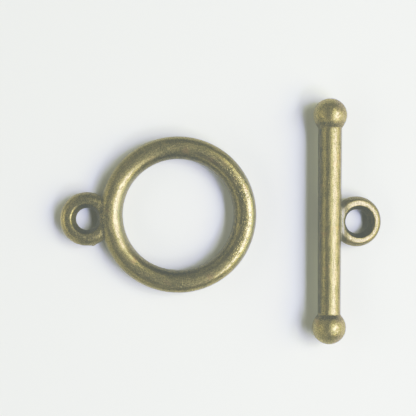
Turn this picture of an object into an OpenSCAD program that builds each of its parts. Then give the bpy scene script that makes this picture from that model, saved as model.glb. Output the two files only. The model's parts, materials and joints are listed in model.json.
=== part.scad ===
// Toggle clasp for a bracelet or necklace, in two cast halves that lie apart on the table:
// a round ring with a side loop, and a bar with ball ends and a side loop.
// All sizes are in millimetres. The clasp closes when the bar goes through the ring end first
// and then turns across it.

/* [Ring] */
// Outside diameter of the ring
ring_outer_d = 14; // [12:0.5:18]
// Thickness of the ring's round body
ring_body_d = 2.05; // [1.7:0.05:2.6]

/* [Ring loop] */
// Diameter of the hole through the ring's loop
ring_hole_d = 1.96; // [1.4:0.02:2.6]
// Width of the band of metal round the hole
ring_band_w = 1.42; // [1.1:0.02:1.8]
// Thickness of the loop from face to face
ring_loop_t = 1.7; // [1.3:0.05:2]
// Width of the loop's rounded outer rim
ring_rim_w = 0.75; // [0.3:0.05:0.9]
// Width of the lip that rolls into the hole
ring_lip_w = 0.45; // [0.2:0.05:0.6]
// Depth of the lip that rolls into the hole
ring_lip_h = 0.4; // [0.2:0.05:0.5]
// Metal left between the hole and the ring's outer edge
ring_hole_inset = 0.19; // [0.1:0.01:0.4]
// How far round the ring its loop sits from the middle of that side, in degrees
ring_loop_turn = 2.7; // [0:0.1:6]

/* [Bar] */
// Length of the bar over its ball ends
bar_length = 21.9; // [18:0.1:28]
// Diameter of each ball end
ball_d = 3; // [2.6:0.05:3.6]
// Diameter of the bar at its middle
bar_body_d = 2.08; // [1.7:0.02:2.4]
// How much thicker the bar is at its upper end than at its lower end
bar_taper = 0.1; // [0:0.01:0.2]
// How much wider the bar gets where it meets a ball
neck_flare = 0.2; // [0.1:0.02:0.3]
// Length of the stretch that widens towards a ball
neck_length = 0.35; // [0.2:0.05:0.6]

/* [Bar loop] */
// Diameter of the hole through the bar's loop
bar_hole_d = 2.13; // [1.5:0.01:2.6]
// Width of the band of metal round the hole
bar_band_w = 1.18; // [0.9:0.02:1.6]
// Thickness of the loop from face to face
bar_loop_t = 1.3; // [1.1:0.02:1.7]
// Width of the loop's rounded outer rim
bar_rim_w = 0.3; // [0.15:0.05:0.6]
// Width of the lip that rolls into the hole
bar_lip_w = 0.36; // [0.2:0.02:0.5]
// Depth of the lip that rolls into the hole
bar_lip_h = 0.4; // [0.2:0.05:0.5]
// Metal left between the hole and the side of the bar
bar_hole_inset = 0.38; // [0.2:0.01:0.6]

/* [Lying on the table] */
// Clear space between the ring and the bar
lay_gap = 5.46; // [2:0.02:10]
// How far the ring's middle lies above the bar's middle
ring_shift = 0.59; // [-2:0.01:2]
// Lean of the bar away from square to the ring's loop, in degrees
bar_lean = 0.35; // [0:0.05:3]

/* [Hidden] */
$fn = 96;
bronze = [0.45, 0.39, 0.22];
arc_step = 15;       // degrees between the points of a rounded rim or lip
face_min_w = 0.1;    // the flat face round a hole keeps at least this width
land_min_h = 0.3;    // the straight wall of a hole keeps at least this height
neck_sink = 0.1;     // the wide end of a neck lies this far inside its ball

ring_r = (ring_outer_d - ring_body_d) / 2;
ring_loop_r = ring_hole_d / 2 + ring_band_w;
ring_loop_reach = ring_outer_d / 2 + ring_hole_inset + ring_hole_d / 2;
bar_loop_reach = bar_body_d / 2 + bar_hole_inset + bar_hole_d / 2;
ball_spread = bar_length - ball_d;
ball_r = ball_d / 2;

// Points along an ellipse about a centre, from one angle to another
function arc(centre, w, h, from, to) =
    let (steps = ceil((to - from) / arc_step))
    [for (i = [0:steps]) let (a = from + (to - from) * i / steps) centre + [w * cos(a), h * sin(a)]];

// Half section of a loop: x is the distance from the hole's axis, y the height above the
// loop's middle plane. It runs from the lower face round the rim to the upper face, down the
// lip, along the hole's straight wall and down the lower lip.
function loop_section(hole_d, band_w, thick, rim_w, lip_w, lip_h) =
    let (squeeze = min(1, (band_w - face_min_w) / (rim_w + lip_w)),
         rim = rim_w * squeeze,
         lip = lip_w * squeeze,
         drop = min(lip_h, (thick - land_min_h) / 2),
         rim_x = hole_d / 2 + band_w - rim,
         lip_x = hole_d / 2 + lip,
         lip_y = thick / 2 - drop)
    concat(arc([rim_x, 0], rim, thick / 2, -90, 90),
           arc([lip_x, lip_y], lip, drop, 90, 180),
           arc([lip_x, -lip_y], lip, drop, 180, 270));

ring_section = loop_section(ring_hole_d, ring_band_w, ring_loop_t, ring_rim_w, ring_lip_w, ring_lip_h);
bar_section = loop_section(bar_hole_d, bar_band_w, bar_loop_t, bar_rim_w, bar_lip_w, bar_lip_h);

// The bar rests on its two balls and rolls until the lower face of its loop meets the table:
// each point of the section would meet it at its own angle, and the smallest angle comes first
bar_roll = min([for (p = bar_section) if (p.y < 0)
    asin(ball_r / norm([bar_loop_reach + p.x, p.y])) - atan2(-p.y, bar_loop_reach + p.x)]);

// Reach of the bar's loop along X from the bar's middle, as it lies
hole_tip = sin(bar_roll) * cos(bar_lean);
bar_loop_edge = max([for (p = bar_section)
    (bar_loop_reach * cos(bar_roll) + p.y * sin(bar_roll)) * cos(bar_lean) + p.x * sqrt(1 - hole_tip * hole_tip)]);

// Places of the two halves: the origin is on the table under the middle of the whole clasp
bar_from_ring = ring_outer_d / 2 + lay_gap + bar_body_d / 2;
left_edge = -ring_loop_reach * cos(ring_loop_turn) - ring_loop_r;
right_edge = bar_from_ring + bar_loop_edge;
ring_x = -(left_edge + right_edge) / 2;
bar_x = ring_x + bar_from_ring;

module ring_body() {
    rotate_extrude() translate([ring_r, 0]) circle(d = ring_body_d);
}

module ring_loop() {
    rotate([0, 0, 180 + ring_loop_turn]) translate([ring_loop_reach, 0, 0])
        rotate_extrude() polygon(ring_section);
}

// The ring and its loop are one casting, lying flat on the table
module toggle_ring() {
    color(bronze) translate([ring_x, ring_shift, ring_body_d / 2]) {
        ring_body();
        ring_loop();
    }
}

// Bar along Y, thicker towards +Y
module bar_body() {
    rotate([-90, 0, 0])
        cylinder(h = ball_spread, d1 = bar_body_d - bar_taper / 2, d2 = bar_body_d + bar_taper / 2, center = true);
}

// One ball end at distance ball_spread / 2 on the given side, with the flared neck that carries it
module ball_end(side) {
    end_d = bar_body_d + side * bar_taper / 2;
    wide_d = end_d + 2 * neck_flare;
    seat = ball_spread / 2 - sqrt(ball_r * ball_r - wide_d * wide_d / 4);
    translate([0, side * ball_spread / 2, 0]) sphere(d = ball_d);
    rotate([-90 * side, 0, 0]) translate([0, 0, seat - neck_length])
        cylinder(h = neck_length + neck_sink, d1 = end_d, d2 = wide_d);
}

module bar_loop() {
    translate([bar_loop_reach, 0, 0]) rotate_extrude() polygon(bar_section);
}

// The bar, its ball ends and its loop are one casting, rolled over onto the loop's lower face
module toggle_bar() {
    color(bronze) translate([bar_x, 0, ball_r]) rotate([0, 0, -bar_lean]) rotate([0, bar_roll, 0]) {
        bar_body();
        ball_end(1);
        ball_end(-1);
        bar_loop();
    }
}

toggle_ring();
toggle_bar();
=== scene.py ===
# Toggle clasp in antique bronze: the ring half and the bar half, lying on a pale table.
# Piece sizes are in millimetres; each node tree turns its result into metres at its end.
import json
import math

import bpy
from mathutils import Matrix, Vector


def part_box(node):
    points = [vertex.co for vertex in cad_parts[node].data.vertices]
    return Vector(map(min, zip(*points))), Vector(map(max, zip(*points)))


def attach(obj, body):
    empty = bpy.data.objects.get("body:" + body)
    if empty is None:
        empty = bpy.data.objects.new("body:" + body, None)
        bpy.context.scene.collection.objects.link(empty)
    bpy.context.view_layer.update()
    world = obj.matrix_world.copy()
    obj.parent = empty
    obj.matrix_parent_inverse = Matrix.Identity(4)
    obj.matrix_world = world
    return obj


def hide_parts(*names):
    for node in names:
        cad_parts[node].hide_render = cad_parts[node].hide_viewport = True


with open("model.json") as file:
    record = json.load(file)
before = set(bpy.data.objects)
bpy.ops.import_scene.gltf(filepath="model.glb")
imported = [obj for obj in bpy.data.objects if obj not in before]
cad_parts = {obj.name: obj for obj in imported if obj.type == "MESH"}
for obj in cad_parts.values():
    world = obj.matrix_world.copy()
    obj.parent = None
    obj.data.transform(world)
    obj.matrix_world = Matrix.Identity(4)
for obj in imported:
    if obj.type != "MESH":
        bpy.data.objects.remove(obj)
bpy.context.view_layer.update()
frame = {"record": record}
millimetre = 0.001
mounts = {mount["name"]: mount for mount in frame["record"]["mounts"]}


class Field:
    # A number that varies over space or over a surface, made of node sockets
    def __init__(self, tree, socket):
        self.tree = tree
        self.socket = socket

    def calc(self, operation, *others):
        node = self.tree.nodes.new("ShaderNodeMath")
        node.operation = operation
        for place, value in enumerate((self,) + others):
            plug(self.tree, value, node.inputs[place])
        return Field(self.tree, node.outputs[0])

    def __add__(self, other):
        return self.calc("ADD", other)

    def __sub__(self, other):
        return self.calc("SUBTRACT", other)

    def __mul__(self, other):
        return self.calc("MULTIPLY", other)

    def __truediv__(self, other):
        return self.calc("DIVIDE", other)

    def flipped(self):
        return self.calc("MULTIPLY", -1)

    def size(self):
        return self.calc("ABSOLUTE")

    def least(self, other):
        return self.calc("MINIMUM", other)

    def most(self, other):
        return self.calc("MAXIMUM", other)

    def blended(self, other, width):
        return self.calc("SMOOTH_MIN", other, width)

    def trimmed(self, other, width):
        return self.calc("SMOOTH_MAX", other, width)

    def ramp(self, low, high, start=0.0, end=1.0):
        # start below low, end above high, with a soft change between
        node = self.tree.nodes.new("ShaderNodeMapRange")
        node.interpolation_type = "SMOOTHSTEP"
        values = {"Value": self, "From Min": low, "From Max": high, "To Min": start, "To Max": end}
        plugAll(self.tree, values, node)
        return Field(self.tree, node.outputs["Result"])

    def between(self, first, second):
        # first where this field is 0, second where it is 1
        return self.ramp(0, 1, first, second)


def plug(tree, value, socket):
    # a field or a node's output is linked, a plain number or colour is set on the socket
    source = value.socket if isinstance(value, Field) else value
    if isinstance(source, bpy.types.NodeSocket):
        tree.links.new(source, socket)
    else:
        socket.default_value = source


def plugAll(tree, values, node):
    for name, value in values.items():
        plug(tree, value, node.inputs[name])


def total(parts):
    whole = parts[0]
    for part in parts[1:]:
        whole = whole + part
    return whole


def length(*parts):
    return total([part * part for part in parts]).calc("SQRT")


def squared(across, up, squareness):
    # like length, but a squareness above 2 flattens the round a little towards a square
    powers = [part.size().calc("POWER", squareness) for part in (across, up)]
    return total(powers).calc("POWER", squareness.calc("POWER", -1))


def split(tree, socket):
    node = tree.nodes.new("ShaderNodeSeparateXYZ")
    tree.links.new(socket, node.inputs[0])
    return [Field(tree, out) for out in node.outputs]


def joined(tree, x, y, z):
    node = tree.nodes.new("ShaderNodeCombineXYZ")
    for value, socket in zip((x, y, z), node.inputs):
        plug(tree, value, socket)
    return node.outputs[0]


def noise(tree, place, look, seed):
    # smooth noise from 0 to 1; place is a vector socket
    node = tree.nodes.new("ShaderNodeTexNoise")
    node.noise_dimensions = "4D"
    values = {"Vector": place, "Scale": look["scale"], "W": seed, "Detail": look["detail"],
              "Roughness": look["roughness"]}
    plugAll(tree, values, node)
    return Field(tree, node.outputs["Fac"])


# Node trees for the castings

castLook = {
    "voxel": 0.072,                  # size of a mesh cell
    "margin": 0.4,                   # room left round a casting when it becomes a mesh
    "settlings": 2,                  # how often the vertices are then moved onto the surface
    "steep": (0.3, 0.62, 1, 0),      # how far a side may turn up or down, until it counts as a face
    "mouthSlant": 0.6,               # a mouth that lies off its hole also lies lower, by this share
    "boreRounding": 0.08,            # how softly a mouth runs into the straight wall of its hole
    "skin": {                        # layers of unevenness, each with its height in mm
        "waves": {"scale": 0.55, "height": 0.03, "seedStep": 0, "detail": 1, "roughness": 0.5},
        "dimples": {"scale": 2.2, "height": 0.009, "seedStep": 3, "detail": 2, "roughness": 0.5},
        "grain": {"scale": 8.0, "height": 0.004, "seedStep": 7, "detail": 2, "roughness": 0.6},
    },
}


def newTree(name, sizes):
    # a tree whose named inputs are its sizes; returns the tree and a field for each input
    tree = bpy.data.node_groups.new(name, "GeometryNodeTree")
    tree.interface.new_socket("Geometry", in_out="OUTPUT", socket_type="NodeSocketGeometry")
    for label, value in sizes.items():
        socket = tree.interface.new_socket(label, in_out="INPUT", socket_type="NodeSocketFloat")
        socket.default_value = value
    given = tree.nodes.new("NodeGroupInput")
    return tree, {label: Field(tree, given.outputs[label]) for label in sizes}


def eyeField(x, y, z, size):
    # distance to a loop, rounded outside, whose hole widens to a cone-shaped mouth at both faces;
    # also how far a place lies outside the mouth's edge
    right = x - size["Loop x"]
    ahead = y - size["Loop y"]
    out = length(right, ahead)
    half = size["Loop thickness"] * 0.5
    level = z / half
    rounding = size["Rim rounding"]
    across = out + level * level * size["Swell"] - size["Hole radius"] - size["Loop band"] + rounding
    up = z.size() - half + rounding
    slab = across.most(up).least(0) + length(across.most(0), up.most(0)) - rounding
    rim = size["Hole radius"] + size["Lip width"]
    slope = length(size["Lip width"], size["Lip depth"])
    lipOut = length(right - size["Lip offset"], ahead + size["Lip offset"] * castLook["mouthSlant"])
    cone = ((rim - lipOut) * size["Lip depth"] + (z.size() - half) * size["Lip width"]) / slope
    hole = cone.trimmed(size["Hole radius"] - out, castLook["boreRounding"])
    return slab.trimmed(hole, size["Lip rounding"]), lipOut - rim


def castMesh(tree, solid, low, high):
    # the surface where the solid's distance is 0, with each vertex moved onto it
    level = 1     # the density is this much on the surface, more inside and less outside
    cube = tree.nodes.new("GeometryNodeVolumeCube")
    plugAll(tree, {"Density": solid.flipped() + level, "Background": 0, "Min": low, "Max": high}, cube)
    for axis, name in enumerate("XYZ"):
        cells = math.ceil((high[axis] - low[axis]) / castLook["voxel"])
        cube.inputs["Resolution " + name].default_value = cells
    mesher = tree.nodes.new("GeometryNodeVolumeToMesh")
    mesher.resolution_mode = "GRID"
    plugAll(tree, {"Volume": cube.outputs["Volume"], "Threshold": level, "Adaptivity": 0}, mesher)
    mesh = mesher.outputs["Mesh"]
    for settling in range(castLook["settlings"]):
        mesh = moved(tree, mesh, solid.flipped())
    return mesh


def moved(tree, mesh, height):
    # every vertex goes along its normal by height
    normal = tree.nodes.new("GeometryNodeInputNormal")
    push = tree.nodes.new("ShaderNodeVectorMath")
    push.operation = "SCALE"
    tree.links.new(normal.outputs["Normal"], push.inputs[0])
    tree.links.new(height.socket, push.inputs["Scale"])
    node = tree.nodes.new("GeometryNodeSetPosition")
    plugAll(tree, {"Geometry": mesh, "Offset": push.outputs[0]}, node)
    return node.outputs["Geometry"]


def sides(tree):
    # 1 on the steep sides of a casting, 0 on the faces that turn up or down
    normal = tree.nodes.new("GeometryNodeInputNormal").outputs["Normal"]
    return split(tree, normal)[2].size().ramp(*castLook["steep"])


def marked(tree, mesh, marks):
    # stores each mark on the mesh's points for the material to read: a field, or a place
    for name, value in marks.items():
        node = tree.nodes.new("GeometryNodeStoreNamedAttribute")
        node.data_type = "FLOAT" if isinstance(value, Field) else "FLOAT_VECTOR"
        plugAll(tree, {"Name": name, "Geometry": mesh, "Value": value}, node)
        mesh = node.outputs["Geometry"]
    return mesh


def roughCast(tree, mesh, local, seed):
    # the uneven skin of a small casting
    layers = []
    for look in castLook["skin"].values():
        bumps = noise(tree, local, look, seed + look["seedStep"])
        layers.append((bumps - 0.5) * look["height"])
    return moved(tree, mesh, total(layers))


def closeTree(tree, mesh, place, material):
    # millimetres to metres, into place, and the ending that every tree has
    where, turn = place.decompose()[:2]
    move = tree.nodes.new("GeometryNodeTransform")
    tree.links.new(mesh, move.inputs["Geometry"])
    move.inputs["Translation"].default_value = where
    move.inputs["Rotation"].default_value = turn.to_euler()
    move.inputs["Scale"].default_value = (millimetre,) * 3
    smooth = tree.nodes.new("GeometryNodeSetShadeSmooth")
    real = tree.nodes.new("GeometryNodeRealizeInstances")
    paint = tree.nodes.new("GeometryNodeSetMaterial")
    paint.inputs["Material"].default_value = material
    end = tree.nodes.new("NodeGroupOutput")
    chain = (move, smooth, real, paint, end)
    for first, second in zip(chain, chain[1:]):
        tree.links.new(first.outputs["Geometry"], second.inputs["Geometry"])


def grown(name, tree, sizes):
    # runs a tree and keeps its result as a plain mesh object
    carrier = bpy.data.objects.new(name + "Maker", bpy.data.meshes.new(name + "Seed"))
    bpy.context.scene.collection.objects.link(carrier)
    modifier = carrier.modifiers.new("cast", "NODES")
    modifier.node_group = tree
    for item in tree.interface.items_tree:
        if item.in_out == "INPUT":
            modifier[item.identifier] = sizes[item.name]
    bpy.context.view_layer.update()
    finished = carrier.evaluated_get(bpy.context.evaluated_depsgraph_get())
    mesh = bpy.data.meshes.new_from_object(finished)
    carrier.modifiers.remove(modifier)
    bpy.data.objects.remove(carrier)
    piece = bpy.data.objects.new(name, mesh)
    bpy.context.scene.collection.objects.link(piece)
    mesh.name = name
    print(name, "has", len(mesh.vertices), "vertices and", len(mesh.polygons), "faces")
    return piece


# Bronze with its patina, and painted shade, highlights and reflection

bronzeLook = {
    "worn": (0.475, 0.38, 0.132, 1),       # bare metal
    "paintedHighlightRose": (0.5, 0.375, 0.225, 1),        # painted highlight tint: paler, pinker bare metal on the sides towards the light
    "paintedSheen": (0.37, 0.36, 0.3, 1),          # painted reflection: a pale sheen on the flank towards the light
    "olive": (0.069, 0.065, 0.015, 1),     # the coat between the bare flecks
    "grimeAndShadeDark": (0.026, 0.025, 0.015, 1),      # grime in creases, holes and pits, and painted shade where the light does not reach
    "copper": (0.34, 0.20, 0.08, 1),       # reddish patches
    "copperShare": 0.5,                    # how strong they are
    "metallic": 1.0,
    "smooth": 0.27,                        # roughness of the bare flecks
    "dull": 0.42,                          # roughness of the coat between them
    "grimeAndShadeDulls": 0.05,                    # roughness that grime and painted shade add
    "lacquer": 0.1,                        # weight of a thin clear coat
    "lacquerRoughness": 0.22,
    "relief": 0.00001,                     # height of the flecks in metres
    "pitDepth": 0.5,                       # depth of the pits, as a share of that height
    "pitGrime": 0.8,                       # how much grime fills the pits
    "wear": {"blotches": 0.12, "streaks": 0.28, "speckle": 0.6},     # what makes the bare flecks
    "grimeAndShade": {"speckle": 0.5, "streaks": 0.5},                       # what breaks up the grime and painted shade
    "grimeAndShadeRange": (0.1, 0.9, 1.3, 0.6),    # its strength falls from 1.3 off the flecks to 0.6 on them
    # Each pattern is noise; its edge gives the noise values where it starts and where it is full
    "patterns": {
        "blotches": {"place": "grainPlace", "scale": 1.1, "seed": 3.0, "detail": 3, "roughness": 0.5,
                     "edge": (0.4, 0.62)},
        "streaks": {"place": "streakPlace", "scale": 9.0, "seed": 8.0, "detail": 2, "roughness": 0.6,
                    "edge": (0.38, 0.62)},
        "speckle": {"place": "grainPlace", "scale": 14.0, "seed": 5.0, "detail": 2, "roughness": 0.6,
                    "edge": (0.44, 0.56)},
        "pits": {"place": "grainPlace", "scale": 8.0, "seed": 31.0, "detail": 1, "roughness": 0.5,
                 "edge": (0.7, 0.76)},
        "copper": {"place": "grainPlace", "scale": 0.9, "seed": 13.0, "detail": 3, "roughness": 0.5,
                   "edge": (0.6, 0.72)},
        "flecks": {"place": "grainPlace", "scale": 9.0, "seed": 21.0, "detail": 2, "roughness": 0.65,
                   "edge": (0.5, 0.72)},
    },
}


def mixed(tree, factor, first, second):
    node = tree.nodes.new("ShaderNodeMix")
    node.data_type = "RGBA"
    plug(tree, factor, node.inputs["Factor"])
    for value, name in ((first, "A"), (second, "B")):
        socket = [s for s in node.inputs if s.name == name and s.type == "RGBA"][0]
        plug(tree, value, socket)
    return [s for s in node.outputs if s.type == "RGBA"][0]


def attribute(tree, name, output):
    node = tree.nodes.new("ShaderNodeAttribute")
    node.attribute_name = name
    return node.outputs[output]


def bronze():
    material = bpy.data.materials.new("antiqueBronze")
    material.use_nodes = True
    tree = material.node_tree
    marks = {name: Field(tree, attribute(tree, name, "Fac"))
             for name in ("patinaAndPaintedShade", "wearAndPaintedLight", "dulled", "paintedHighlightTint", "paintedSheen")}
    patterns = {}
    for name, look in bronzeLook["patterns"].items():
        place = attribute(tree, look["place"], "Vector")
        patterns[name] = noise(tree, place, look, look["seed"]).ramp(*look["edge"])
    # bare flecks from wear, with more of them where highlights are painted and fewer where shade is painted
    wear = total([patterns[name] * share for name, share in bronzeLook["wear"].items()]) * marks["wearAndPaintedLight"]
    breaks = total([patterns[name] * share for name, share in bronzeLook["grimeAndShade"].items()])
    # patina in creases and holes, together with painted shade on parts turned from the light
    grimeAndShade = marks["patinaAndPaintedShade"] * breaks.ramp(*bronzeLook["grimeAndShadeRange"])
    # bare metal, turned pinker where a highlight tint is painted
    metal = mixed(tree, marks["paintedHighlightTint"], bronzeLook["worn"], bronzeLook["paintedHighlightRose"])
    colour = mixed(tree, wear, bronzeLook["olive"], metal)
    colour = mixed(tree, patterns["copper"] * bronzeLook["copperShare"], colour, bronzeLook["copper"])
    # painted reflection: a pale sheen mixed in on the flank towards the light
    colour = mixed(tree, marks["paintedSheen"], colour, bronzeLook["paintedSheen"])
    colour = mixed(tree, grimeAndShade.most(patterns["pits"] * bronzeLook["pitGrime"]), colour, bronzeLook["grimeAndShadeDark"])
    rough = patterns["speckle"].between(bronzeLook["dull"], bronzeLook["smooth"])
    rough = rough + marks["patinaAndPaintedShade"] * bronzeLook["grimeAndShadeDulls"] + marks["dulled"]
    relief = patterns["flecks"] - patterns["pits"] * bronzeLook["pitDepth"]
    bump = tree.nodes.new("ShaderNodeBump")
    plugAll(tree, {"Distance": bronzeLook["relief"], "Height": relief}, bump)
    plugAll(tree, {
        "Base Color": colour,
        "Metallic": bronzeLook["metallic"],
        "Roughness": rough,
        "Coat Weight": bronzeLook["lacquer"],
        "Coat Roughness": bronzeLook["lacquerRoughness"],
        "Normal": bump.outputs["Normal"],
        "Coat Normal": bump.outputs["Normal"],
    }, tree.nodes["Principled BSDF"])
    return material


bronzeMaterial = bronze()
print("bronze ready")


# Ring half

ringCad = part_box("toggle_ring")
ringHole = mounts["ring_loop_hole"]
ringOuter = (ringCad[1][1] - ringCad[0][1]) / 2 / millimetre
ringThick = (ringCad[1][2] - ringCad[0][2]) / millimetre
ringCentre = Vector((ringCad[1][0] - ringOuter * millimetre, (ringCad[0][1] + ringCad[1][1]) / 2,
                     (ringCad[0][2] + ringCad[1][2]) / 2))
ringReach = (Vector(ringHole["pos_m"]) - ringCentre) / millimetre

ringLook = {
    "sizes": {
        "Ring radius": ringOuter - ringThick / 2,
        "Body radius": ringThick / 2,
        "Squareness": 2.3,       # 2 is round
        "Crest shift": 0.1,      # how far the ring's top line lies outside the middle of its body
        "Hole radius": ringHole["dims"]["r_mm"],
        "Loop x": ringReach.x,
        "Loop y": ringReach.y,
        "Loop band": 1.42,
        "Loop thickness": 1.7,
        "Rim rounding": 0.75,
        "Swell": 0.0,            # how far the loop's rim bulges past its faces
        "Lip width": 0.37,
        "Lip offset": 0.0,       # how far the widened mouth of the hole lies off the hole's middle
        "Lip depth": 0.6,
        "Lip rounding": 0.13,
        "Join width": 0.15,      # how wide the metal fills the crease between ring and loop
        "Gate size": 0.3,        # radius of the stub left on the loop's edge by the casting
        "Gate x": 0.55,          # from the loop's centre
        "Gate y": -2.12,
        "Gate join": 0.15,       # how wide the metal fills the crease round the stub
        "Seed": 11.0,
    },
    "loopRoom": 4.4,             # how far past the ring's left edge the loop may reach
    "streakSpread": 0.6,         # streaks run round the ring, longer as this gets less
    "rimGloss": -0.08,           # roughness added on the loop's rim, where a highlight is painted
    "loopHighlightTint": -0.5,           # painted highlight tint added on the loop
    # Each zone: two places in mm and the value at either, with a soft change between
    "zones": {
        "crest": (-4, 3, 1, 0.25),              # along x: how much of the crest shift there is
        "onLoop": (0.02, 0.1, 1, 0),            # away from the loop
        "crease": (0.02, 0.3, 0.8, 0),          # grime, away from where ring and loop meet
        "hollowGrimeAndShade": (-0.05, 0.05, 1, 0),          # grime and painted shade, outward over the edge of the hole's mouth
        "hollowRing": (0.03, 0.15, 0, 1),       # less of it close to the ring
        "hollowLeft": (-1, 0, 0.15, 1),         # less of it left of the hole's middle, where the wall faces the light; the darker right wall is painted shade
        "innerShade": (0.35, 0.8, 0, 1),             # painted shade on the flank turned from the light, inward from the middle of the body
        "innerShadeSide": (-5, -1, 0.1, 0.8),        # less of it on the ring's left, along x, where that flank faces the light
        "cornerShade": (-0.1, 0.3, 0, 0.35),         # painted shade at upper and lower right, inward again
        "cornerShadeX": (0.5, 2.5, 0, 1),
        "cornerShadeY": (1.5, 4, 0, 1),
        "flank": (0, 0.5, 0.2, 0),              # by the rim mask: grime on steep sides, none on the bright rim
        "flankIn": (0.5, 0.8, 1, 0),            # not further in than this from the loop's edge
        "ends": (2.5, 5.2, 0, 0.12),            # painted shade towards the ring's top and bottom
        "loopEndsShade": (0.3, 1.3, 0.15, 0.42),     # painted shade towards the loop's top and bottom
        "rimFrom": (0, 0.12, 0, 1),             # rim of the loop, inward from its edge: worn, and painted brighter as a highlight
        "rimTo": (0.36, 0.5, 1, 0),
        "rimLeft": (-1.6, -0.4, 1.6, 0),        # only on the loop's left
        "bare": (4.5, 6, 1, 0.87),              # bare flecks along x
        "bareEndsShade": (2.5, 5.2, 0, -0.14),       # fewer bare flecks towards the ring's top and bottom: painted shade there
        "low": (-0.1, 0.2, 0, 1),               # painted highlight: more bare flecks at lower right, outward from the body's middle
        "lowX": (0, 2, 0, 1),
        "lowY": (-5, -2.5, 0.25, 0),
        "dullLeft": (-5.5, -2.5, 0.06, 0),      # roughness added on the ring's left
        "paintedHighlightTint": (0.12, 0.42, 0, 0.4),          # painted highlight tint, towards the light from the body's middle
        "highlightTintEnds": (2.5, 5, 1, 0.2),          # less towards the ring's top and bottom
        "paintedSheen": (0.4, 0.75, 0, 0.45),           # painted reflection: a pale sheen towards the light as well
        "paintedSheenUp": (-0.3, 0.2, 0, 1),            # not below
        "paintedSheenEnds": (3.5, 5.5, 1, 0),
    },
}


def ringHalf():
    tree, size = newTree("ringHalf", ringLook["sizes"])
    zone = ringLook["zones"]
    local = tree.nodes.new("GeometryNodeInputPosition").outputs[0]
    x, y, z = split(tree, local)
    out = length(x, y)
    outward = out - size["Ring radius"]
    inward = outward.flipped()
    level = z / size["Body radius"]
    across = outward - level * level * x.ramp(*zone["crest"]) * size["Crest shift"]
    body = squared(across, z, size["Squareness"]) - size["Body radius"]
    loop, pastMouth = eyeField(x, y, z, size)
    loopX = x - size["Loop x"]
    loopY = y - size["Loop y"]
    gate = length(loopX - size["Gate x"], loopY - size["Gate y"], z) - size["Gate size"]
    loop = loop.blended(gate, size["Gate join"])
    solid = body.blended(loop, size["Join width"])
    side = ringOuter + castLook["margin"]
    top = ringThick / 2 + castLook["margin"]
    mesh = castMesh(tree, solid, (-side - ringLook["loopRoom"], -side, -top), (side, side, top))

    toEnds = y.size()
    onLoop = loop.ramp(*zone["onLoop"])
    rimIn = size["Hole radius"] + size["Loop band"] - length(loopX, loopY)
    # the loop's left rim: wear and a painted highlight, given as more bare flecks
    rim = rimIn.ramp(*zone["rimFrom"]) * rimIn.ramp(*zone["rimTo"]) * loopX.ramp(*zone["rimLeft"])
    crease = (body.size() + loop.size()).ramp(*zone["crease"])
    # grime in the hole's mouth, and painted shade on its right wall, away from the light
    hollowGrimeAndShade = pastMouth.ramp(*zone["hollowGrimeAndShade"]) * body.ramp(*zone["hollowRing"])
    hollowGrimeAndShade = hollowGrimeAndShade * loopX.ramp(*zone["hollowLeft"])
    # painted shade on the inner flank, which faces away from the light except on the left
    innerShade = inward.ramp(*zone["innerShade"]) * x.ramp(*zone["innerShadeSide"])
    # painted shade on the inner flank at upper and lower right
    cornerShade = inward.ramp(*zone["cornerShade"]) * x.ramp(*zone["cornerShadeX"]) * toEnds.ramp(*zone["cornerShadeY"])
    flank = sides(tree) * rim.ramp(*zone["flank"]) * rimIn.ramp(*zone["flankIn"])
    # painted shade towards the top and bottom of the ring and of its loop
    ends = toEnds.ramp(*zone["ends"]).most(onLoop * loopY.size().ramp(*zone["loopEndsShade"]))
    # painted highlight at lower right, given as more bare flecks
    low = outward.ramp(*zone["low"]) * x.ramp(*zone["lowX"]) * y.ramp(*zone["lowY"])
    towardLight = outward * x / out
    # painted highlight tint on the flank towards the light
    paintedHighlightTint = towardLight.ramp(*zone["paintedHighlightTint"]) * toEnds.ramp(*zone["highlightTintEnds"])
    # painted reflection: a pale sheen on the upper flank towards the light
    paintedSheen = towardLight.ramp(*zone["paintedSheen"]) * z.ramp(*zone["paintedSheenUp"]) * toEnds.ramp(*zone["paintedSheenEnds"])
    squeezed = (size["Ring radius"] * ringLook["streakSpread"] + outward) / out
    # grime in the crease and on steep sides; painted shade in the hole, on the inner flank, at the ends and
    # right corners; bare flecks for wear and painted highlights; painted highlight tint and reflection
    mesh = marked(tree, mesh, {
        "patinaAndPaintedShade": crease.most(hollowGrimeAndShade).most(flank).most(innerShade).most(ends).most(cornerShade),
        "wearAndPaintedLight": rim + x.ramp(*zone["bare"]) + toEnds.ramp(*zone["bareEndsShade"]) + low,
        "dulled": rim * ringLook["rimGloss"] + x.ramp(*zone["dullLeft"]),
        "paintedHighlightTint": paintedHighlightTint + onLoop * ringLook["loopHighlightTint"],
        "paintedSheen": paintedSheen,
        "grainPlace": joined(tree, x, y, z),
        "streakPlace": joined(tree, x * squeezed, y * squeezed, z),
    })
    mesh = roughCast(tree, mesh, local, size["Seed"])
    closeTree(tree, mesh, Matrix.Translation(ringCentre), bronzeMaterial)
    return grown("ringHalf", tree, ringLook["sizes"])


ring = ringHalf()
print("ring half cast")


# Bar half

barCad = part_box("toggle_bar")
barHole = mounts["bar_loop_hole"]
holeAxis = Vector(barHole["axis"])
barRoll = math.atan2(math.hypot(holeAxis.x, holeAxis.y), holeAxis.z)
barLean = math.atan2(-holeAxis.y, holeAxis.x)

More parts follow.
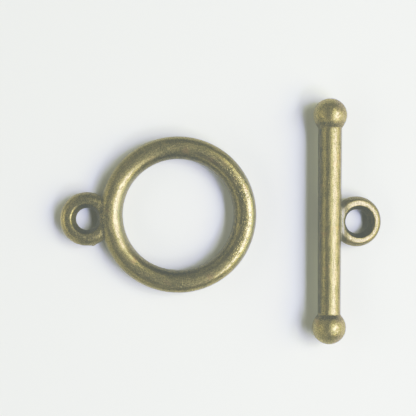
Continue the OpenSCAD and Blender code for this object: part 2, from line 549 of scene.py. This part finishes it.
barLook = {
    "sizes": {
        "Length": (barCad[1][1] - barCad[0][1]) / millimetre,
        "Ball radius": (barCad[1][2] - barCad[0][2]) / 2 / millimetre,
        "Body radius": 1.015,
        "Squareness": 2.25,      # 2 is round
        "Taper": 0.05,           # how much larger the radius is at the upper end than at the lower end
        "Hole radius": barHole["dims"]["r_mm"],
        "Loop x": 2.52,
        "Loop y": 0.0,
        "Loop band": 1.18,
        "Loop thickness": 1.3,
        "Rim rounding": 0.1,
        "Swell": 0.34,           # how far the loop's rim bulges past its faces
        "Lip width": 0.37,
        "Lip offset": 0.05,      # how far the widened mouth of the hole lies off the hole's middle
        "Lip depth": 0.6,
        "Lip rounding": 0.1,
        "Join width": 0.2,       # how wide the metal fills the crease between bar and loop
        "Neck flare": 0.17,      # how much wider the bar gets towards a ball
        "Neck length": 0.4,
        "Neck seat": 0.55,       # where the neck is widest: this share of the ball's radius from its middle
        "Neck width": 0.1,       # how wide the metal fills the crease round a ball
        "Seed": 29.0,
    },
    "holeReach": 2.49,           # from the bar's axis to its hole in the CAD
    "loopRoom": 5.2,             # how far right of the bar's axis the loop may reach
    "streakSpread": 0.12,        # streaks run along the rod, longer as this gets less
    "stripGrime": 0.35,          # grime on the strip of the loop next to the bar
    "stripBare": -0.35,          # bare flecks added on that strip
    "stripDull": 0.2,            # roughness added on it
    "loopBare": -0.2,            # bare flecks added on the loop
    "loopDull": 0.08,            # roughness added on the loop
    "ballDull": 0.09,            # roughness added on the balls
    "ballHighlightTint": 0.95,           # how much of the rod's painted highlight tint the balls have
    # Each zone: two places in mm and the value at either, with a soft change between
    "zones": {
        "onRod": (0.03, 0.15, 0, 1),            # away from the balls
        "onLoop": (1.05, 1.3, 0, 1),            # along x
        "strip": (0.02, 0.1, 1, 0),             # away from the loop
        "stripSide": (1.3, 1.7, 1, 0),          # along x: only next to the bar
        "neck": (0.03, 0.14, 0.7, 0),           # grime, away from where rod and ball meet
        "neckSide": (0.1, 0.8, 1, 0.5),         # less of it on the right, along x
        "root": (0.02, 0.14, 0.9, 0),           # grime, away from where bar and loop meet
        "rootEnds": (0.4, 0.9, 0.75, 1),        # more of it above and below the loop
        "nearBar": (-1.4, -0.9, 0.6, 1),        # along x from the hole: its wall next to the bar, which faces the light, gets less painted shade and is paler
        "mouthShift": (0.6, 1, 0.2, 0),         # by the value of nearBar: grime and painted shade start deeper in there
        "hollowGrimeAndShade": (-0.04, 0.04, 1, 0.2),        # grime and painted shade, outward over the edge of the hole's mouth
        "hollowBar": (0.03, 0.15, 0, 1),        # less of it close to the bar
        "rodSideShade": (-0.4, 0.6, 0.85, 0.05),     # painted shade on the rod's steep sides, along x: strong on the left, where they mirror the shadow on the table
        "ballWearAndHighlight": (0.5, 1.1, 1.05, 1.4),      # bare flecks on the balls, along x, more on the right: a painted highlight there
        "rodWearAndHighlight": (0.2, 0.8, 0.74, 1.0),       # bare flecks on the rod, along x, fewer on the left and middle, more on the right flank: a painted highlight there
        "rodDull": (0.2, 0.8, 0.09, 0),         # roughness added on the rod, along x
        "paintedHighlightTint": (-0.1, 0.5, 0, 1),             # painted highlight tint on the side towards the light, along x
        "highlightTintEdge": (0.85, 1.05, 0, -0.6),     # less at the right edge
        "paintedSheen": (0.6, 0.85, 0, 0.45),           # painted reflection: a pale sheen on the rod's right edge, along x
        "paintedSheenUp": (0.1, 0.5, 0, 1),             # not below
    },
}
barTurn = Matrix.Rotation(-barLean, 4, "Z") @ Matrix.Rotation(barRoll, 4, "Y")
barCentre = Vector(barHole["pos_m"]) - barTurn @ Vector((barLook["holeReach"] * millimetre, 0, 0))


def barHalf():
    tree, size = newTree("barHalf", barLook["sizes"])
    zone = barLook["zones"]
    local = tree.nodes.new("GeometryNodeInputPosition").outputs[0]
    x, y, z = split(tree, local)
    toEnds = y.size()
    spread = (size["Length"] * 0.5) - size["Ball radius"]
    neckEnd = spread - size["Ball radius"] * size["Neck seat"]
    flare = toEnds.ramp(neckEnd - size["Neck length"], neckEnd) * size["Neck flare"]
    radius = size["Body radius"] + y / spread * size["Taper"] * 0.5 + flare
    rod = (squared(x, z, size["Squareness"]) - radius).most(toEnds - spread)
    balls = length(x, toEnds - spread, z) - size["Ball radius"]
    body = rod.blended(balls, size["Neck width"])
    loop, pastMouth = eyeField(x, y, z, size)
    solid = body.blended(loop, size["Join width"])
    side = barLook["sizes"]["Ball radius"] + castLook["margin"]
    end = barLook["sizes"]["Length"] / 2 + castLook["margin"]
    mesh = castMesh(tree, solid, (-side, -end, -side), (barLook["loopRoom"], end, side))

    onRod = balls.ramp(*zone["onRod"])
    onLoop = x.ramp(*zone["onLoop"])
    strip = loop.ramp(*zone["strip"]) * x.ramp(*zone["stripSide"])
    neck = (rod.size() + balls.size()).ramp(*zone["neck"]) * x.ramp(*zone["neckSide"])
    root = (body.size() + loop.size()).ramp(*zone["root"]) * toEnds.ramp(*zone["rootEnds"])
    nearBar = (x - size["Loop x"]).ramp(*zone["nearBar"])
    pastMouth = pastMouth + nearBar.ramp(*zone["mouthShift"])
    # grime in the hole's mouth, and painted shade away from the light
    hollowGrimeAndShade = pastMouth.ramp(*zone["hollowGrimeAndShade"]) * body.ramp(*zone["hollowBar"]) * nearBar
    # painted shade on the rod's steep left side, little on the right
    rodSideShade = sides(tree) * onRod * x.ramp(*zone["rodSideShade"])
    # bare flecks, with more on the right flank as a painted highlight
    rodWearAndHighlight = x.ramp(*zone["rodWearAndHighlight"]) + onLoop * barLook["loopBare"] + strip * barLook["stripBare"]
    rodDull = x.ramp(*zone["rodDull"]) + onLoop * barLook["loopDull"] + strip * barLook["stripDull"]
    # painted highlight tint on the right side, towards the light
    paintedHighlightTint = onRod.between(barLook["ballHighlightTint"], 1) * x.ramp(*zone["paintedHighlightTint"])
    # painted reflection: a pale sheen on the rod's right edge, not below and not on the loop
    paintedSheen = onRod * x.ramp(*zone["paintedSheen"]) * z.ramp(*zone["paintedSheenUp"])
    # grime at the neck, root and strip; painted shade in the hole and on the rod's left side; bare flecks
    # for wear and painted highlights; painted highlight tint and reflection
    mesh = marked(tree, mesh, {
        "patinaAndPaintedShade": neck.most(root).most(hollowGrimeAndShade).most(rodSideShade).most(strip * barLook["stripGrime"]),
        "wearAndPaintedLight": onRod.between(x.ramp(*zone["ballWearAndHighlight"]), rodWearAndHighlight),
        "dulled": onRod.between(barLook["ballDull"], rodDull),
        "paintedHighlightTint": paintedHighlightTint + x.ramp(*zone["highlightTintEdge"]),
        "paintedSheen": paintedSheen * (onLoop.flipped() + 1),
        "grainPlace": joined(tree, x, y, z),
        "streakPlace": joined(tree, x, y * onRod.between(1, barLook["streakSpread"]), z),
    })
    mesh = roughCast(tree, mesh, local, size["Seed"])
    closeTree(tree, mesh, Matrix.Translation(barCentre) @ barTurn, bronzeMaterial)
    return grown("barHalf", tree, barLook["sizes"])


bar = barHalf()
print("bar half cast")

for piece, node in ((ring, "toggle_ring"), (bar, "toggle_bar")):
    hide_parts(node)
    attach(piece, "root")


# Table, its side in metres

tableLook = {"side": 1.2, "colour": (0.807, 0.824, 0.779, 1), "roughness": 0.8, "shine": 0.2}


def table():
    half = tableLook["side"] / 2
    corners = [(-half, -half, 0), (half, -half, 0), (half, half, 0), (-half, half, 0)]
    mesh = bpy.data.meshes.new("table")
    mesh.from_pydata(corners, [], [(0, 1, 2, 3)])
    top = bpy.data.objects.new("table", mesh)
    bpy.context.scene.collection.objects.link(top)
    material = bpy.data.materials.new("tableTop")
    material.use_nodes = True
    shader = material.node_tree.nodes["Principled BSDF"]
    shader.inputs["Base Color"].default_value = tableLook["colour"]
    shader.inputs["Roughness"].default_value = tableLook["roughness"]
    shader.inputs["Specular IOR Level"].default_value = tableLook["shine"]
    mesh.materials.append(material)


table()
print("table laid")


# Light: angles in degrees, sizes in metres, power in watts

lampDistance = 0.6
lights = {
    "high": {"azimuth": 4, "fromTop": 30, "width": 0.34, "height": 0.1,
             "power": 1.55, "colour": (0.97, 1.0, 1.18)},
    "key": {"azimuth": -19, "fromTop": 38.7, "width": 0.57, "height": 0.085,
            "power": 2.35, "colour": (0.945, 1.0, 1.58)},
    "keyUp": {"azimuth": 40, "fromTop": 38, "width": 0.3, "height": 0.085,
              "power": 0.35, "colour": (1.0, 1.0, 0.6)},
    "low": {"azimuth": -14, "fromTop": 50, "width": 0.6, "height": 0.17,
            "power": 1.8, "colour": (1.12, 1.0, 0.38)},
    "side": {"azimuth": -8, "fromTop": 70, "width": 0.7, "height": 0.25,
             "power": 1.3, "colour": (0.88, 1.0, 0.42)},
    "fillUp": {"azimuth": 130, "fromTop": 56, "width": 0.4, "height": 0.3,
               "power": 0.28, "colour": (1.0, 1.0, 0.9)},
    "fill": {"azimuth": 180, "fromTop": 61, "width": 0.4, "height": 0.3,
             "power": 0.69, "colour": (1.03, 1.0, 0.8)},
    "fillDown": {"azimuth": 230, "fromTop": 62, "width": 0.4, "height": 0.24,
                 "power": 0.48, "colour": (1.0, 1.0, 0.85)},
}


def addLight(name, look):
    data = bpy.data.lights.new(name, "AREA")
    data.shape = "RECTANGLE"
    data.size = look["width"]
    data.size_y = look["height"]
    data.energy = look["power"]
    data.color = look["colour"]
    lamp = bpy.data.objects.new(name, data)
    around = math.radians(look["azimuth"])
    down = math.radians(look["fromTop"])
    way = Vector((math.cos(around) * math.sin(down), math.sin(around) * math.sin(down), math.cos(down)))
    lamp.location = way * lampDistance
    lamp.rotation_euler = way.to_track_quat("Z", "Y").to_euler()
    lamp.visible_camera = False
    bpy.context.scene.collection.objects.link(lamp)


for lightName, lightLook in lights.items():
    addLight(lightName, lightLook)

# The pale wall behind the table shows in low views alone and lights nothing

wallColour = (0.86, 0.88, 0.84, 1)


def addWall():
    world = bpy.data.worlds.new("room")
    bpy.context.scene.world = world
    world.use_nodes = True
    world.node_tree.nodes["Background"].inputs["Color"].default_value = wallColour
    world.cycles_visibility.diffuse = False
    world.cycles_visibility.glossy = False


addWall()


# Camera, straight down as in the photo; all in millimetres

cameraLook = {
    "height": 90.5,
    "over": (-1.132, 1.179),     # the point of the table that it looks down on
    "frameWidth": 37.66,         # how much of the table it sees from side to side
    "sensor": 36,
    "nearest": 1,
}


def addCamera():
    data = bpy.data.cameras.new("camera")
    data.sensor_width = cameraLook["sensor"]
    data.lens = cameraLook["sensor"] * cameraLook["height"] / cameraLook["frameWidth"]
    data.clip_start = cameraLook["nearest"] * millimetre
    eye = bpy.data.objects.new("camera", data)
    eye.location = [v * millimetre for v in (*cameraLook["over"], cameraLook["height"])]
    bpy.context.scene.collection.objects.link(eye)
    bpy.context.scene.camera = eye


addCamera()

# The photo's soft contrast: blacks lifted by stray light, bright tones rolled off

viewLook = {
    "brightest": 2.0,                      # light that is shown as white
    "blacks": (0.085, 0.095, 0.083),       # how no light is shown
    # Three rows for the curve: the light, how it is shown, and what is added to that
    "lights": (0.0, 0.25, 0.45, 0.7, 1.0, 1.15, 1.3, 1.6, 2.0),
    "shown": (0.0, 0.25, 0.44, 0.6, 0.775, 0.86, 0.92, 0.98, 1.0),
    "lift": (0.0, 0.0, 0.045, 0.045, 0.0, 0.0, 0.0, 0.0, 0.0),
    "lifted": (0, 0, 1),                   # added to blue alone, so bright metal looks a little pinker
}


def setView():
    settings = bpy.context.scene.view_settings
    settings.view_transform = "Standard"
    settings.use_curve_mapping = True
    mapping = settings.curve_mapping
    mapping.initialize()
    mapping.white_level = (viewLook["brightest"],) * 3
    for curve, black, lifted in zip(mapping.curves, viewLook["blacks"], viewLook["lifted"]):
        shown = [value + lifted * more for value, more in zip(viewLook["shown"], viewLook["lift"])]
        spots = [(light / viewLook["brightest"], black + (1 - black) * value)
                 for light, value in zip(viewLook["lights"], shown)]
        curve.points[0].location = spots[0]
        curve.points[1].location = spots[-1]
        for spot in spots[1:-1]:
            curve.points.new(*spot)
    mapping.update()


setView()
print("light and camera ready")
